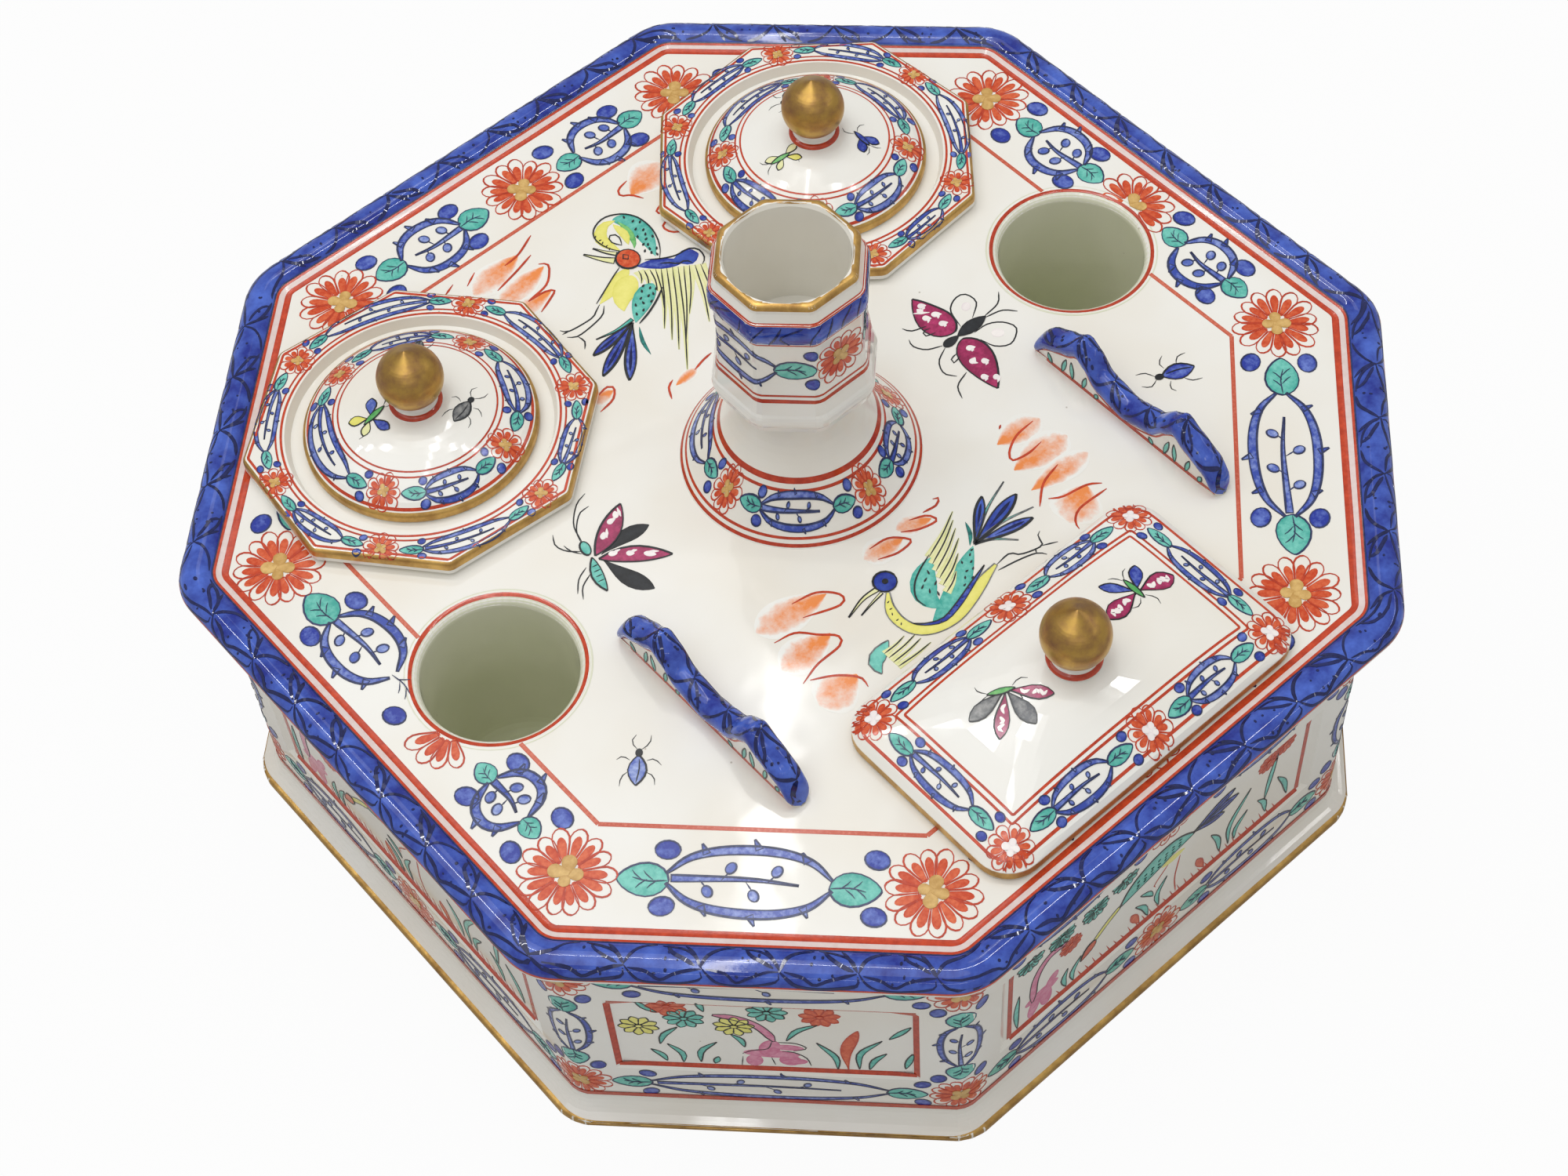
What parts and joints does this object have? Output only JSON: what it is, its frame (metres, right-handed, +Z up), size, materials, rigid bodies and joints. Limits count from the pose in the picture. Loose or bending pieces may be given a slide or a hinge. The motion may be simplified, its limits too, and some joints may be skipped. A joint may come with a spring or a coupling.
{
  "type": "desk inkstand",
  "caption": "Eight-sided glazed porcelain desk inkstand with a candlestick, pen wells and pen rests, lift-out inkwells with lids, and a lidded box sunk in its deck.",
  "frame": {"origin": "centre of the base, on the surface that the foot stands on", "axes": "+Z up; the box is at the front, towards -Y; the inkwells are behind, one each side; +X to the right seen from the front"},
  "size_m": [0.2292, 0.2292, 0.1349],
  "materials": {
    "porcelain": "clear-glazed white porcelain, painted over the glaze",
    "cobalt_enamel": "blue enamel over white porcelain",
    "gilding": "burnished gilding over porcelain"
  },
  "bodies": {
    "body": {"foot": "porcelain", "casing_wall": "porcelain", "deck": "porcelain", "rim": "cobalt_enamel", "candle_foot": "porcelain", "candle_socket": "porcelain", "pen_well_left": "porcelain", "pen_well_right": "porcelain", "pen_rest_left": "cobalt_enamel", "pen_rest_right": "cobalt_enamel", "box_well": "porcelain"},
    "inkwell_left": {"ink_plate_left": "porcelain", "ink_pot_left": "porcelain"},
    "inkwell_right": {"ink_plate_right": "porcelain", "ink_pot_right": "porcelain"},
    "ink_lid_left": {"lid_cover_left": "porcelain", "lid_collar_left": "porcelain", "lid_knob_left": "gilding"},
    "ink_lid_right": {"lid_cover_right": "porcelain", "lid_collar_right": "porcelain", "lid_knob_right": "gilding"},
    "box_lid": {"box_lid_cover": "porcelain", "box_lid_collar": "porcelain", "box_lid_knob": "gilding"}
  },
  "joints": [
    {"name": "inkwell_left_lift", "type": "slide", "parent": "body", "child": "inkwell_left", "axis": [0, 0, 1], "range_m": [0, 0.06]},
    {"name": "inkwell_right_lift", "type": "slide", "parent": "body", "child": "inkwell_right", "axis": [0, 0, 1], "range_m": [0, 0.06]},
    {"name": "ink_lid_left_lift", "type": "slide", "parent": "inkwell_left", "child": "ink_lid_left", "axis": [0, 0, 1], "range_m": [0, 0.03]},
    {"name": "ink_lid_right_lift", "type": "slide", "parent": "inkwell_right", "child": "ink_lid_right", "axis": [0, 0, 1], "range_m": [0, 0.03]},
    {"name": "box_lid_lift", "type": "slide", "parent": "body", "child": "box_lid", "axis": [0, 0, 1], "range_m": [0, 0.04]}
  ]
}
